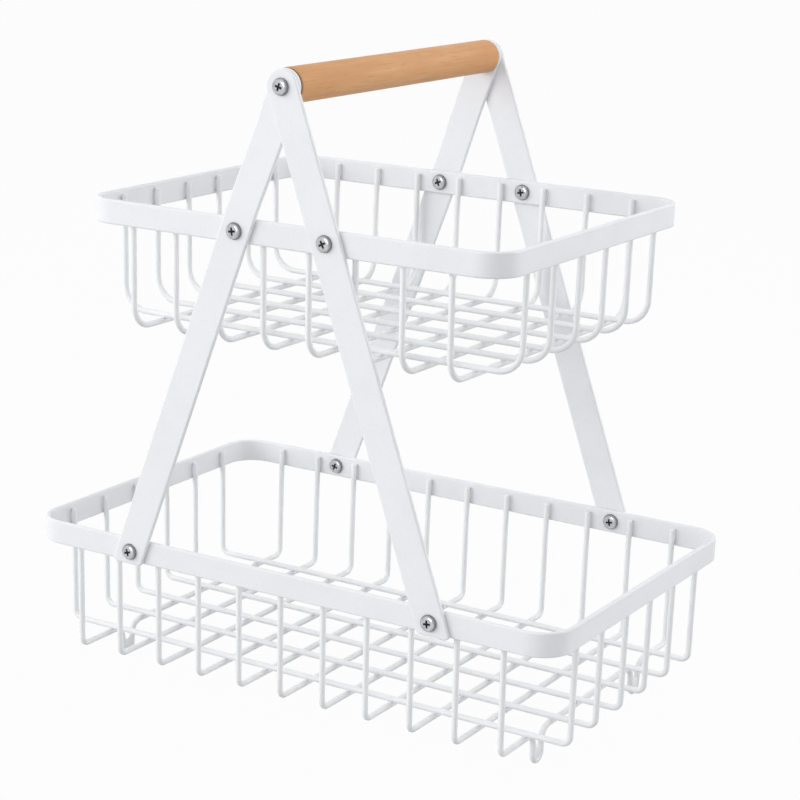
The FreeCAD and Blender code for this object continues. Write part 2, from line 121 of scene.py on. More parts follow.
@dataclass
class Shell:
    """One or more surfaces: points, four-sided faces, three-sided faces and a mark from 0 to 1 per point."""

    points: np.ndarray
    quads: np.ndarray
    tris: np.ndarray = field(default_factory=lambda: np.empty((0, 3), int))
    marks: np.ndarray | None = None

    def outward(self) -> Shell:
        """Turn the faces out, so that the signed volumes under them add up to more than nothing.

        Returns:
            This surface, or the same one with every face reversed.
        """
        halves = [self.quads[:, [0, 1, 2]], self.quads[:, [0, 2, 3]], self.tris]
        a, b, c = (self.points[np.concatenate(halves)[:, k]] for k in range(3))
        if np.einsum("ij,ij->", a, np.cross(b, c)) >= 0:
            return self
        return Shell(self.points, self.quads[:, ::-1], self.tris[:, ::-1], self.marks)

    def placed(self, turn: np.ndarray, place: np.ndarray) -> Shell:
        """A copy turned by a rotation matrix and then moved to a place."""
        return Shell(self.points @ turn.T + place, self.quads, self.tris, self.marks)

    def to_piece(self, name: str, material: bpy.types.Material) -> bpy.types.Object:
        """Put the surface into a mesh object at the origin, shaded smooth but for its creases.

        Args:
            name: Name of the piece.
            material: Its finish.

        Returns:
            The new object, linked to the scene.
        """
        mesh = bpy.data.meshes.new(name)
        mesh.from_pydata(self.points.tolist(), [], self.quads.tolist() + self.tris.tolist())
        mesh.polygons.foreach_set("use_smooth", np.ones(len(mesh.polygons), bool))
        mesh.set_sharp_from_angle(angle=CREASE)
        if self.marks is not None:
            mark = mesh.attributes.new("mark", "FLOAT", "POINT")
            mark.data.foreach_set("value", self.marks.astype(np.float32))
        mesh.materials.append(material)
        mesh.update()
        piece = bpy.data.objects.new(name, mesh)
        bpy.context.scene.collection.objects.link(piece)
        return piece


def joined(shells: list[Shell]) -> Shell:
    """Several closed surfaces as one mesh, with the face numbers of each moved past those before it.

    Args:
        shells: The surfaces, all with marks or all without.

    Returns:
        One surface with every part.
    """
    starts = np.cumsum([0] + [len(shell.points) for shell in shells[:-1]])
    marked = all(shell.marks is not None for shell in shells)
    return Shell(np.concatenate([shell.points for shell in shells]),
                 np.concatenate([shell.quads + start for shell, start in zip(shells, starts)]),
                 np.concatenate([shell.tris + start for shell, start in zip(shells, starts)]),
                 np.concatenate([shell.marks for shell in shells]) if marked else None)


def ring_quads(rows: int, cols: int) -> np.ndarray:
    """Faces between neighbouring rings of a grid of points, where each row closes into a ring.

    Args:
        rows: Number of rings.
        cols: Points in a ring.

    Returns:
        Point numbers of the faces, four to a row.
    """
    row, col = np.arange(rows - 1)[:, None] * cols, np.arange(cols)[None, :]
    beside = (col + 1) % cols
    corners = [row + col, row + beside, row + cols + beside, row + cols + col]
    return np.stack(np.broadcast_arrays(*corners), -1).reshape(-1, 4)


def capped_tube(rings: np.ndarray) -> Shell:
    """A tube of rings, closed at both ends by a fan of faces about the middle of the end ring.

    Args:
        rings: Points of shape (rings, points in a ring, 3).

    Returns:
        The closed surface, with its faces outward.
    """
    rows, cols = rings.shape[:2]
    points = np.concatenate([rings.reshape(-1, 3), rings[[0, -1]].mean(1)])
    ring = np.arange(cols)
    beside = (ring + 1) % cols
    first, last = np.full(cols, rows * cols), np.full(cols, rows * cols + 1)
    end = (rows - 1) * cols
    fans = [np.stack([first, beside, ring], -1), np.stack([last, end + ring, end + beside], -1)]
    return Shell(points, ring_quads(rows, cols), np.concatenate(fans)).outward()


def revolved(outline: np.ndarray, sides: int) -> Shell:
    """A closed outline of (radius, height) pairs turned about the upright axis: (r cos a, r sin a, h).

    Args:
        outline: Radii and heights from one end of the axis to the other, without the ends on the axis itself.
        sides: Steps round the axis.

    Returns:
        The closed surface about Z.
    """
    angle = np.linspace(0, 2 * np.pi, sides, endpoint=False)
    radius, height = outline[:, 0, None], outline[:, 1, None]
    rings = np.stack(np.broadcast_arrays(radius * np.cos(angle), radius * np.sin(angle), height), -1)
    return capped_tube(rings)


def rounded_path(corners: np.ndarray, radii: list[float], steps: int) -> tuple[np.ndarray, np.ndarray]:
    """Straight runs through the corners of a flat path, with a tangent arc in each inner corner.

    An arc of radius r in a corner of half angle h starts r / tan h before the corner, and its centre lies
    r / sin h from the corner on the line that halves it.

    Args:
        corners: Points of shape (count, 2).
        radii: Radius in each inner corner.
        steps: Steps in each arc.

    Returns:
        Points along the path and the unit tangent at each.
    """
    points, tangents = [corners[:1]], [unit(corners[1] - corners[0])[None]]
    for before, corner, after, radius in zip(corners[:-2], corners[1:-1], corners[2:], radii):
        back, ahead = unit(before - corner), unit(after - corner)
        half = math.acos(float(np.clip(back @ ahead, -1, 1))) / 2
        centre = corner + unit(back + ahead) * radius / math.sin(half)
        arm = corner + back * radius / math.tan(half) - centre
        turn = math.copysign(math.pi - 2 * half, back[1] * ahead[0] - back[0] * ahead[1])
        angle = np.linspace(0, turn, steps + 1)
        spin = np.array([[np.cos(angle), -np.sin(angle)], [np.sin(angle), np.cos(angle)]])
        points.append(centre + np.einsum("ijk,j->ki", spin, arm))
        tangents.append(np.einsum("ijk,j->ki", spin, -back))
    points.append(corners[-1:])
    tangents.append(unit(corners[-1] - corners[-2])[None])
    return np.concatenate(points), np.concatenate(tangents)


def unit(vector: np.ndarray) -> np.ndarray:
    """The vector at a length of one."""
    return vector / np.linalg.norm(vector)


def smooth_step(value: np.ndarray) -> np.ndarray:
    """Ease from 0 to 1: t squared times (3 - 2 t), with t held between 0 and 1."""
    t = np.clip(value, 0, 1)
    return t * t * (3 - 2 * t)


# Finishes


class Graph:
    """A node tree under construction, of a material, a world or a shader group."""

    def __init__(self, tree: bpy.types.NodeTree) -> None:
        """Start with an empty tree."""
        self.tree = tree
        tree.nodes.clear()

    def add(self, kind: str, settings: dict | None = None, **inputs: object) -> bpy.types.Node:
        """Add a node.

        Args:
            kind: Node type without the leading ShaderNode.
            settings: Properties of the node itself.
            **inputs: Sockets by name, with underscores for spaces. A socket links, anything else is its value.

        Returns:
            The node.
        """
        node = self.tree.nodes.new(kind if kind.startswith("NodeGroup") else "ShaderNode" + kind)
        for name, value in (settings or {}).items():
            setattr(node, name, value)
        for name, value in inputs.items():
            self.feed(node.inputs[name.replace("_", " ")], value)
        return node

    def feed(self, socket: bpy.types.NodeSocket, value: object) -> None:
        """Link a socket to an output, or set its own value.

        Args:
            socket: The input.
            value: An output, a number, a vector, or a colour without its alpha.
        """
        if isinstance(value, bpy.types.NodeSocket):
            self.tree.links.new(value, socket)
        elif isinstance(value, tuple) and socket.type == "RGBA":
            socket.default_value = (*value, 1.0)
        else:
            socket.default_value = value

    def math(self, operation: str, first: object, second: object = 0.0) -> bpy.types.NodeSocket:
        """One sum on two numbers or outputs.

        Args:
            operation: The Math node's own name for the sum.
            first: The first number or output.
            second: The second one.

        Returns:
            The result.
        """
        node = self.add("Math", {"operation": operation})
        self.feed(node.inputs[0], first)
        self.feed(node.inputs[1], second)
        return node.outputs[0]

    def noise(self, vector: object, scale: object, detail: float, rough: float = 0.5) -> bpy.types.NodeSocket:
        """Cloudy noise from 0 to 1."""
        return self.add("TexNoise", Vector=vector, Scale=scale, Detail=detail, Roughness=rough).outputs["Fac"]

    def ranged(self, value: object, remap: Remap) -> bpy.types.NodeSocket:
        """A value eased from one range into another, and held inside it."""
        limits = dict(zip(("From_Min", "From_Max", "To_Min", "To_Max"), remap))
        return self.add("MapRange", {"interpolation_type": "SMOOTHSTEP"}, Value=value, **limits).outputs["Result"]

    def mixed(self, amount: object, first: object, second: object) -> bpy.types.NodeSocket:
        """Two colours mixed by an amount.

        Args:
            amount: 0 for the first colour and 1 for the second.
            first: The first colour.
            second: The second colour.

        Returns:
            The mixed colour.
        """
        node = self.add("Mix", {"data_type": "RGBA"})
        for number, value in zip(MIX_INPUTS, (amount, first, second)):
            self.feed(node.inputs[number], value)
        return node.outputs[MIX_RESULT]

    def stretched(self, scale: Triple, place: Triple = (0, 0, 0), turn: Triple = (0, 0, 0)) -> bpy.types.NodeSocket:
        """Object coordinates, moved, turned and stretched."""
        vector = self.add("TexCoord").outputs["Object"]
        return self.add("Mapping", Vector=vector, Location=place, Rotation=turn, Scale=scale).outputs[0]

    def seen_directly(self) -> bpy.types.NodeSocket:
        """A mask for the rays that show the background to the eye, in a reflection or through a pane.

        Returns:
            1 for such a ray and 0 for one that gathers light.
        """
        path = self.add("LightPath").outputs
        seen = self.math("MAXIMUM", path["Is Camera Ray"], path["Is Glossy Ray"])
        return self.math("MAXIMUM", seen, path["Is Transmission Ray"])


def group_of(name: str, inputs: dict[str, str], outputs: dict[str, str]) -> tuple[Graph, dict, dict]:
    """A new shader group with named sockets.

    Args:
        name: Name of the group.
        inputs: Socket type of each input.
        outputs: Socket type of each output.

    Returns:
        The group's graph, its inputs by name and its outputs by name.
    """
    tree = bpy.data.node_groups.new(name, "ShaderNodeTree")
    for way, sockets in (("INPUT", inputs), ("OUTPUT", outputs)):
        for socket, kind in sockets.items():
            tree.interface.new_socket(socket, in_out=way, socket_type="NodeSocket" + kind)
    graph = Graph(tree)
    entry, leave = graph.add("NodeGroupInput"), graph.add("NodeGroupOutput")
    return graph, dict(entry.outputs.items()), dict(leave.inputs.items())


@dataclass(frozen=True)
class CoatSkin:
    """Powder coat: a faint cloudy tone, orange peel in the height and a gloss that varies with both."""

    cloud_scale: float = 28.0
    cloud_detail: float = 3.0
    peel_detail: float = 1.5
    grain_ratio: float = 4.5
    grain_detail: float = 1.0
    thin_in_clouds: Remap = (0.4, 0.72, 0.0, 0.55)
    thin_in_peel: Remap = (0.3, 0.55, 0.3, 0.0)
    gloss_in_clouds: Remap = (0.3, 0.7, 0.34, 0.46)
    grain_in_gloss: float = 0.08
    grain_in_height: float = 0.22

    def group(self) -> bpy.types.NodeTree:
        """Build the effect.

        Returns:
            The shared group.
        """
        graph, given, out = group_of(
            "Coat skin", {"Vector": "Vector", "Full Color": "Color", "Thin Color": "Color", "Peel Scale": "Float"},
            {"Color": "Color", "Roughness": "Float", "Height": "Float"})
        vector, peel_scale = given["Vector"], given["Peel Scale"]
        cloud = graph.noise(vector, self.cloud_scale, self.cloud_detail)
        peel = graph.noise(vector, peel_scale, self.peel_detail)
        grain = graph.noise(vector, graph.math("MULTIPLY", peel_scale, self.grain_ratio), self.grain_detail)
        thin = graph.math("ADD", graph.ranged(cloud, self.thin_in_clouds), graph.ranged(peel, self.thin_in_peel))
        graph.feed(out["Color"], graph.mixed(thin, given["Full Color"], given["Thin Color"]))
        fine_gloss = graph.math("MULTIPLY", grain, self.grain_in_gloss)
        graph.feed(out["Roughness"], graph.math("ADD", graph.ranged(cloud, self.gloss_in_clouds), fine_gloss))
        fine_height = graph.math("MULTIPLY", grain, self.grain_in_height)
        graph.feed(out["Height"], graph.math("ADD", peel, fine_height))
        return graph.tree


@dataclass(frozen=True)
class Mottle:
    """Cloudy variation of a bare surface: a colour between two tones and a gloss between two values."""

    detail: float = 3.0
    rough: float = 0.6
    dark_in_clouds: Remap = (0.32, 0.7, 0.0, 1.0)

    def group(self) -> bpy.types.NodeTree:
        """Build the effect.

        Returns:
            The shared group.
        """
        graph, given, out = group_of(
            "Surface mottle", {"Vector": "Vector", "Scale": "Float", "Light": "Color", "Dark": "Color",
                               "Smooth": "Float", "Rough": "Float"},
            {"Color": "Color", "Roughness": "Float", "Value": "Float"})
        cloud = graph.noise(given["Vector"], given["Scale"], self.detail, self.rough)
        share = graph.ranged(cloud, self.dark_in_clouds)
        graph.feed(out["Color"], graph.mixed(share, given["Light"], given["Dark"]))
        span = graph.math("SUBTRACT", given["Rough"], given["Smooth"])
        graph.feed(out["Roughness"], graph.math("ADD", given["Smooth"], graph.math("MULTIPLY", span, share)))
        graph.feed(out["Value"], cloud)
        return graph.tree


class Effects:
    """The shader groups that several finishes share, each made once."""

    def __init__(self) -> None:
        """Build the groups."""
        self.coat_skin = CoatSkin().group()
        self.mottle = Mottle().group()


class Finish:
    """A finish that builds its own material."""

    name: str

    def start(self) -> tuple[Graph, bpy.types.Material]:
        """An empty material of this finish's name.

        Returns:
            Its graph and the material.
        """
        material = bpy.data.materials.new(self.name)
        material.use_nodes = True
        return Graph(material.node_tree), material

    @staticmethod
    def end(graph: Graph, shader: bpy.types.Node) -> None:
        """Send the shader to the surface."""
        graph.add("OutputMaterial", Surface=shader.outputs[0])

    @staticmethod
    def bumped(graph: Graph, height: bpy.types.NodeSocket, strength: float, depth: float) -> bpy.types.NodeSocket:
        """The normal of a height."""
        return graph.add("Bump", Height=height, Strength=strength, Distance=depth).outputs["Normal"]


@dataclass(frozen=True)
class PowderCoat(Finish):
    """White satin powder coat on steel."""

    name: str
    full: Colour = (0.822, 0.838, 0.866)
    thin: Colour = (0.772, 0.789, 0.818)
    peel_scale: float = 620.0
    peel_strength: float = 0.22
    peel_depth: float = 0.12 * MM
    specular: float = 0.42

    def material(self, effects: Effects) -> bpy.types.Material:
        """The finish as a material.

        Args:
            effects: The shared groups.

        Returns:
            The new material.
        """
        graph, material = self.start()
        vector = graph.add("TexCoord").outputs["Object"]
        skin = graph.add("Group", {"node_tree": effects.coat_skin}, Vector=vector, Full_Color=self.full,
                         Thin_Color=self.thin, Peel_Scale=self.peel_scale)
        normal = self.bumped(graph, skin.outputs["Height"], self.peel_strength, self.peel_depth)
        shader = graph.add("BsdfPrincipled", Base_Color=skin.outputs["Color"], Roughness=skin.outputs["Roughness"],
                           Normal=normal, Specular_IOR_Level=self.specular)
        self.end(graph, shader)
        return material


@dataclass(frozen=True)
class Grain:
    """One layer of a wood's grain: noise that is drawn out along the handle."""

    scale: float
    along: float
    detail: float
    rough: float = 0.5

    def layer(self, graph: Graph) -> bpy.types.NodeSocket:
        """The layer's noise, with its scale along the handle cut to a share."""
        return graph.noise(graph.stretched((1, self.along, 1)), self.scale, self.detail, self.rough)


@dataclass(frozen=True)
class Beech(Finish):
    """Turned beech with a thin matt clear coat. The grain runs along the handle."""

    name: str
    light: Colour = (0.712, 0.388, 0.175)
    dark: Colour = (0.596, 0.292, 0.117)
    fleck: Colour = (0.38, 0.16, 0.062)
    end_grain_and_gap_shade: Colour = (0.13, 0.055, 0.026)
    pith: Triple = (0.031, 0.0, -0.345)
    tilt: Triple = (0.012, 0.0, 0.018)
    ring_scale: float = 85.0
    ring_warp: float = 5.0
    ring_detail: float = 2.0
    ring_detail_scale: float = 0.6
    ring_share: float = 0.35
    cloud_scale: float = 70.0
    cloud_along: float = 0.12
    fibre: Grain = Grain(1500.0, 0.02, 3.0, 0.65)
    streak: Grain = Grain(420.0, 0.03, 2.0, 0.6)
    dash: Grain = Grain(1500.0, 0.05, 1.0)
    fibre_shows: Remap = (0.4, 0.72, 0.0, 0.5)
    streak_shows: Remap = (0.42, 0.68, 0.0, 0.6)
    dash_shows: Remap = (0.62, 0.76, 0.0, 0.38)
    dash_sinks: Remap = (0.62, 0.76, 0.0, 0.5)
    smooth: float = 0.5
    rough: float = 0.64
    bump_strength: float = 0.25
    bump_depth: float = 0.1 * MM
    specular: float = 0.3
    clear_coat: float = 0.06
    clear_coat_rough: float = 0.4

    def material(self, effects: Effects) -> bpy.types.Material:
        """The finish as a material.

        Args:
            effects: The shared groups.

        Returns:
            The new material.
        """
        graph, material = self.start()
        board = graph.stretched((1, 1, 1), self.pith, self.tilt)
        rings = graph.add("TexWave", {"wave_type": "RINGS", "rings_direction": "Y", "wave_profile": "SIN"},
                          Vector=board, Scale=self.ring_scale, Distortion=self.ring_warp, Detail=self.ring_detail,
                          Detail_Scale=self.ring_detail_scale).outputs["Fac"]
        mottle = graph.add("Group", {"node_tree": effects.mottle}, Vector=graph.stretched((1, self.cloud_along, 1)),
                           Scale=self.cloud_scale, Light=self.light, Dark=self.dark, Smooth=self.smooth,
                           Rough=self.rough)
        fibre, streak, dash = (grain.layer(graph) for grain in (self.fibre, self.streak, self.dash))
        ringed = graph.mixed(graph.math("MULTIPLY", rings, self.ring_share), mottle.outputs["Color"], self.dark)
        streaked = graph.mixed(graph.ranged(streak, self.streak_shows), ringed, self.dark)
        fibred = graph.mixed(graph.ranged(fibre, self.fibre_shows), streaked, self.dark)
        flecked = graph.mixed(graph.ranged(dash, self.dash_shows), fibred, self.fleck)
        mark = graph.add("Attribute", {"attribute_name": "mark"}).outputs["Fac"]
        # The end colour is end grain together with painted shade in the gap beside the leg.
        ended = graph.mixed(mark, flecked, self.end_grain_and_gap_shade)
        height = graph.math("SUBTRACT", fibre, graph.ranged(dash, self.dash_sinks))
        shader = graph.add("BsdfPrincipled", Base_Color=ended, Roughness=mottle.outputs["Roughness"],
                           Normal=self.bumped(graph, height, self.bump_strength, self.bump_depth),
                           Specular_IOR_Level=self.specular, Coat_Weight=self.clear_coat,
                           Coat_Roughness=self.clear_coat_rough)
        self.end(graph, shader)
        return material


@dataclass(frozen=True)
class BarePlate(Finish):
    """Bare metal, bright but for painted shade where it is marked, as in a recess, toward a head's rim and under its
    edge.
    """

    name: str
    light: Colour
    dark: Colour
    painted_shade: Colour
    smooth: float
    rough: float
    scale: float = 420.0
    rougher_in_marks: float = 0.25
    bump_strength: float = 0.08
    bump_depth: float = 0.05 * MM

    def material(self, effects: Effects) -> bpy.types.Material:
        """The finish as a material.

        Args:
            effects: The shared groups.

        Returns:
            The new material.
        """
        graph, material = self.start()
        vector = graph.add("TexCoord").outputs["Object"]
        mottle = graph.add("Group", {"node_tree": effects.mottle}, Vector=vector, Scale=self.scale, Light=self.light,
                           Dark=self.dark, Smooth=self.smooth, Rough=self.rough)
        mark = graph.add("Attribute", {"attribute_name": "mark"}).outputs["Fac"]
        # The mark paints shade: a dark colour in recesses, in a ring toward a head's rim and under the head.
        colour = graph.mixed(mark, mottle.outputs["Color"], self.painted_shade)
        marked = graph.math("MULTIPLY", mark, self.rougher_in_marks)
        roughness = graph.math("ADD", mottle.outputs["Roughness"], marked)
        normal = self.bumped(graph, mottle.outputs["Value"], self.bump_strength, self.bump_depth)
        shader = graph.add("BsdfPrincipled", Base_Color=colour, Roughness=roughness, Normal=normal, Metallic=1.0)
        self.end(graph, shader)
        return material


@dataclass(frozen=True)
class PaleFloor(Finish):
    """Pale studio floor: white to the eye and in reflections, with the object's shadow kept in it."""

    name: str
    colour: Colour = (0.55, 0.55, 0.55)
    white_share: float = 0.96

    def material(self) -> bpy.types.Material:
        """The finish as a material.

        Returns:
            The new material.
        """
        graph, material = self.start()
        matt = graph.add("BsdfDiffuse", Color=self.colour)
        white = graph.add("Emission", Color=WHITE, Strength=1.0)
        shader = graph.add("MixShader", Fac=graph.math("MULTIPLY", graph.seen_directly(), self.white_share))
        graph.feed(shader.inputs[1], matt.outputs[0])
        graph.feed(shader.inputs[2], white.outputs[0])
        self.end(graph, shader)
        return material


class Palette:
    """Every material of the object, made once."""

    def __init__(self) -> None:
        """Build the shared groups and then the materials."""
        effects = Effects()
        self.bar_coat = PowderCoat("coat_on_flat_bar").material(effects)
        # The wires' coat is a lighter copy of the bar coat's colours, which paints more light on the wires.
        self.wire_coat = PowderCoat("coat_on_wire", full=(0.856, 0.864, 0.878), thin=(0.806, 0.815, 0.83),
                                    peel_scale=900.0, peel_strength=0.16).material(effects)
        self.bead_coat = PowderCoat("coat_on_weld", peel_scale=1400.0, peel_strength=0.3).material(effects)
        self.beech = Beech("turned_beech").material(effects)
        self.zinc = BarePlate("bright_zinc", light=(0.6, 0.605, 0.62), dark=(0.45, 0.455, 0.47),
                              painted_shade=(0.035, 0.035, 0.04), smooth=0.2, rough=0.34).material(effects)
        self.brass = BarePlate("turned_brass", light=(0.74, 0.58, 0.3), dark=(0.62, 0.46, 0.21),
                               painted_shade=(0.2, 0.14, 0.06), smooth=0.26, rough=0.42).material(effects)


# Sub-assemblies


def ride(piece: bpy.types.Object, body: str, slot: Slot, *nodes: str) -> None:
    """Fix a piece to a body and let it stand for CAD nodes.

    Args:
        piece: The new piece.
        body: The body that it moves with.
        slot: The material slot of its finish. Not used.
        *nodes: The nodes that it replaces, if any.
    """
    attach(piece, body)
    if nodes:
        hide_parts(*nodes)
    LOG.info("%s rides on %s and stands for %s", piece.name, body, ", ".join(nodes) or "no node")


@dataclass
class WireStock:
    """Round wire with rounded ends, measured over its coat."""

    diameter: float = 3.75 * MM
    end_round: float = 0.8 * MM
    sides: int = 24
    end_steps: int = 4
    bend_steps: int = 14

    @property
    def radius(self) -> float:
        """Half the diameter."""
        return self.diameter / 2

    def bent(self, corners: np.ndarray, radii: list[float], run: Run, place: float) -> Shell:
        """A wire bent in an upright plane: its circle is carried along the path, and shrinks at the ends.

        A point is the path's point, plus the radius times (cos a times the normal in the plane of the bend,
        plus sin a times the direction across that plane). At an end the radius follows a quarter circle.

        Args:
            corners: The path's corners, as (distance along the run, height).
            radii: Bend radius in each inner corner.
            run: The way that the wire runs.
            place: Where its plane stands, along the other way.

        Returns:
            The closed wire.
        """
        path, tangent = rounded_path(corners, radii, self.bend_steps)
        angle = np.linspace(0, np.pi / 2, self.end_steps + 1)
        inset = self.end_round * (1 - np.cos(angle))[:, None]
        thin = self.radius - self.end_round * (1 - np.sin(angle))
        path = np.concatenate([path[0] + inset * tangent[0], path[1:-1], (path[-1] - inset * tangent[-1])[::-1]])
        tangent = np.concatenate([np.repeat(tangent[:1], len(angle), 0), tangent[1:-1],
                                  np.repeat(tangent[-1:], len(angle), 0)])
        radius = np.concatenate([thin, np.full(len(path) - 2 * len(thin), self.radius), thin[::-1]])
        middle = path[:, :1] * run.along + path[:, 1:] * UP + place * run.across
        normal = -tangent[:, 1:] * run.along + tangent[:, :1] * UP
        turn = np.linspace(0, 2 * np.pi, self.sides, endpoint=False)[None, :, None]
        spoke = np.cos(turn) * normal[:, None] + np.sin(turn) * run.across
        return capped_tube(middle[:, None] + radius[:, None, None] * spoke)


@dataclass
class WeldBead:
    """Small lenses of metal at the spot welds, each a little different in size."""

    spread: float = 2.2 * MM
    thickness: float = 0.8 * MM
    rim_spread: float = 2.1 * MM
    rim_thickness: float = 0.8 * MM
    rim_share: float = 0.34
    sides: int = 8
    rows: int = 5
    least_share: float = 0.86
    seed: int = 7

    def scattered(self, centres: np.ndarray, halves: np.ndarray) -> Shell:
        """One ellipsoid per centre: (sin p cos a, sin p sin a, cos p), each times its half axis.

        Args:
            centres: Places of shape (count, 3).
            halves: Half axes on X, Y and Z, of shape (count, 3).

        Returns:
            All the beads as one mesh.
        """
        polar = np.linspace(0, np.pi, self.rows + 2)[1:-1, None]
        angle = np.linspace(0, 2 * np.pi, self.sides, endpoint=False)
        ball = capped_tube(np.stack(np.broadcast_arrays(
            np.sin(polar) * np.cos(angle), np.sin(polar) * np.sin(angle), np.cos(polar)), -1))
        ball.points[-2:, 2] = np.sign(ball.points[-2:, 2])
        shares = np.random.default_rng(self.seed).uniform(self.least_share, 1.0, halves.shape)
        points = centres[:, None] + ball.points[None] * (halves * shares)[:, None]
        start = (np.arange(len(centres)) * len(ball.points))[:, None, None]
        return Shell(points.reshape(-1, 3), (ball.quads + start).reshape(-1, 4), (ball.tris + start).reshape(-1, 3))


@dataclass
class FootWeb:
    """Coat that bridges the loop of a foot, highest beside the loop's two legs."""

    half_thickness: float = 1.3 * MM
    middle_height: float = 8.5 * MM
    leg_climb: float = 4.5 * MM
    rows: int = 13
    sides: int = 16

    def in_loop(self, bottom: np.ndarray, turn: float) -> Shell:
        """Upright ellipses carried across the loop from one leg to the other.

        Each stands on the loop's centre line, a half circle, and its top climbs with the square of the distance
        from the loop's middle.

        Args:
            bottom: The lowest point of the loop's centre line.
            turn: Radius of the loop on its centre line.

        Returns:
            The closed web.
        """
        across = np.linspace(-turn, turn, self.rows)[:, None]
        foot = turn - np.sqrt(turn ** 2 - across ** 2)
        top = self.middle_height + self.leg_climb * (across / turn) ** 2
        angle = np.linspace(0, 2 * np.pi, self.sides, endpoint=False)
        height = (top + foot) / 2 + (top - foot) / 2 * np.cos(angle)
        rings = np.broadcast_arrays(self.half_thickness * np.sin(angle), across, height)
        return capped_tube(bottom + np.stack(rings, -1))


@dataclass
class WireTier:
    """One basket's wires: cross wires below, long wires on top of them, their weld beads and the webs in the feet."""

    name: str
    nodes: list[str]
    cross_bend: float
    long_bend: float
    stock: WireStock = field(default_factory=WireStock)
    bead: WeldBead = field(default_factory=WeldBead)
    web: FootWeb = field(default_factory=FootWeb)
    rim_wall: float = BAND_WALL
    weld_gap: float = 0.05 * MM
    end_drop: float = 3.25 * MM
    wall_lean: float = 1 * MM
    foot_turn: float = 5 * MM
    foot_bend: float = 8.5 * MM
    foot_flat: float = 0.3 * MM
    foot_share: float = 0.8

    def __post_init__(self) -> None:
        """Read the rim's box and the wires' places and levels from the frame."""
        self.rim_low, self.rim_high = (np.array(corner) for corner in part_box(self.name + "_rim"))
        self.wire_top = self.rim_high[2] - self.end_drop
        self.runs = {Run.LONG: [node for node in self.nodes if "_long_" in node],
                     Run.CROSS: [node for node in self.nodes if "_long_" not in node]}
        self.places = {run: np.array([self.middle(node, run) for node in group])
                       for run, group in self.runs.items()}
        plain = {Run.LONG: self.runs[Run.LONG][0], Run.CROSS: self.runs[Run.CROSS][1]}
        self.levels = {run: float(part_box(node)[0][2]) + self.stock.radius for run, node in plain.items()}

    @staticmethod
    def middle(node: str, run: Run) -> float:
        """Where a wire's plane stands, from its box."""
        low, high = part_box(node)
        return float((np.array(low) + np.array(high)) @ run.across / 2)

    @property
    def foot_low(self) -> float:
        """Height of a foot's centre line at the bottom of its loop."""
        return self.stock.radius - self.foot_flat

    @property
    def foot_places(self) -> tuple[float, float]:
        """Where the two feet of an end wire stand along it, as a share of the way to the outermost long wire."""
        reach = self.foot_share * float(self.places[Run.LONG].max())
        return -reach, reach

    def walls(self, run: Run, bend: float) -> tuple[list[tuple[float, float]], list[float]]:
        """Corners and bends of a wire that runs down one wall, across the floor and up the other wall.

        Args:
            run: The way that the wire runs.
            bend: Its bend radius at the floor.

        Returns:
            Corners as (distance, height), and the radius in each inner corner.
        """
        high = float(self.rim_high @ run.along) - self.rim_wall - self.weld_gap - self.stock.radius
        low, level = high - self.wall_lean, self.levels[run]
        return [(-high, self.wire_top), (-low, level), (low, level), (high, self.wire_top)], [bend, bend]

    def feet(self, corners: list[tuple[float, float]], bends: list[float]) -> None:
        """Add two feet to an end wire, each a loop that dips to the table and comes back up.

        Args:
            corners: The wire's corners, which get the loops'.
            bends: The wire's bends, which get the loops'.
        """
        floor, low = self.levels[Run.CROSS], self.foot_low
        for place in self.foot_places:
            left, right = place - self.foot_turn, place + self.foot_turn
            corners[-2:-2] = [(left, floor), (left, low), (right, low), (right, floor)]
            bends[-1:-1] = [self.foot_bend, self.foot_turn, self.foot_turn, self.foot_bend]

    def build_wires(self, palette: Palette) -> None:
        """Sweep every wire and let it stand for its node.

        Args:
            palette: The materials.
        """
        for run, bend in ((Run.CROSS, self.cross_bend), (Run.LONG, self.long_bend)):
            for node, place in zip(self.runs[run], self.places[run]):
                corners, bends = self.walls(run, bend)
                if "_foot_" in node:
                    self.feet(corners, bends)
                wire = self.stock.bent(np.array(corners), bends, run, float(place))
                wire.points[:, 2] = np.maximum(wire.points[:, 2], 0.0)
                ride(wire.to_piece(node + "_rod", palette.wire_coat), FRAME_BODY, Slot.COAT, node)

    def build_webs(self, palette: Palette) -> None:
        """Fill the lower part of each foot's loop with the coat that bridges it, where the tier has feet.

        Args:
            palette: The materials.
        """
        cross = zip(self.runs[Run.CROSS], self.places[Run.CROSS])
        ends = [place for node, place in cross if "_foot_" in node]
        if not ends:
            return
        bottoms = [np.array([x, y, self.foot_low]) for x in ends for y in self.foot_places]
        webs = [self.web.in_loop(bottom, self.foot_turn) for bottom in bottoms]
        ride(joined(webs).to_piece(self.name + "_foot_webs", palette.wire_coat), FRAME_BODY, Slot.COAT)

    def build_beads(self, palette: Palette) -> None:
        """Put a bead between the wires at each crossing, and one behind each wire end, on the rim.

        Args:
            palette: The materials.
        """
        seat = (self.levels[Run.CROSS] + self.levels[Run.LONG]) / 2
        x, y = np.meshgrid(self.places[Run.CROSS], self.places[Run.LONG])
        centres = [np.stack([x.ravel(), y.ravel(), np.full(x.size, seat)], -1)]
        halves = [np.tile([self.bead.spread, self.bead.spread, self.bead.thickness], (x.size, 1))]
        overlap = self.wire_top - self.rim_low[2]
        level = self.rim_low[2] + overlap / 2
        for run in Run:
            inner = float(self.rim_high @ run.along) - self.rim_wall
            for side in (-1, 1):
                place = self.places[run][:, None]
                centres.append(place * run.across + side * inner * run.along + level * UP)
                halves.append(np.tile(self.bead.rim_spread * run.across + self.bead.rim_thickness * run.along
                                      + self.bead.rim_share * overlap * UP, (len(place), 1)))
        beads = self.bead.scattered(np.concatenate(centres), np.concatenate(halves))
        ride(beads.to_piece(self.name + "_weld_beads", palette.bead_coat), FRAME_BODY, Slot.COAT)


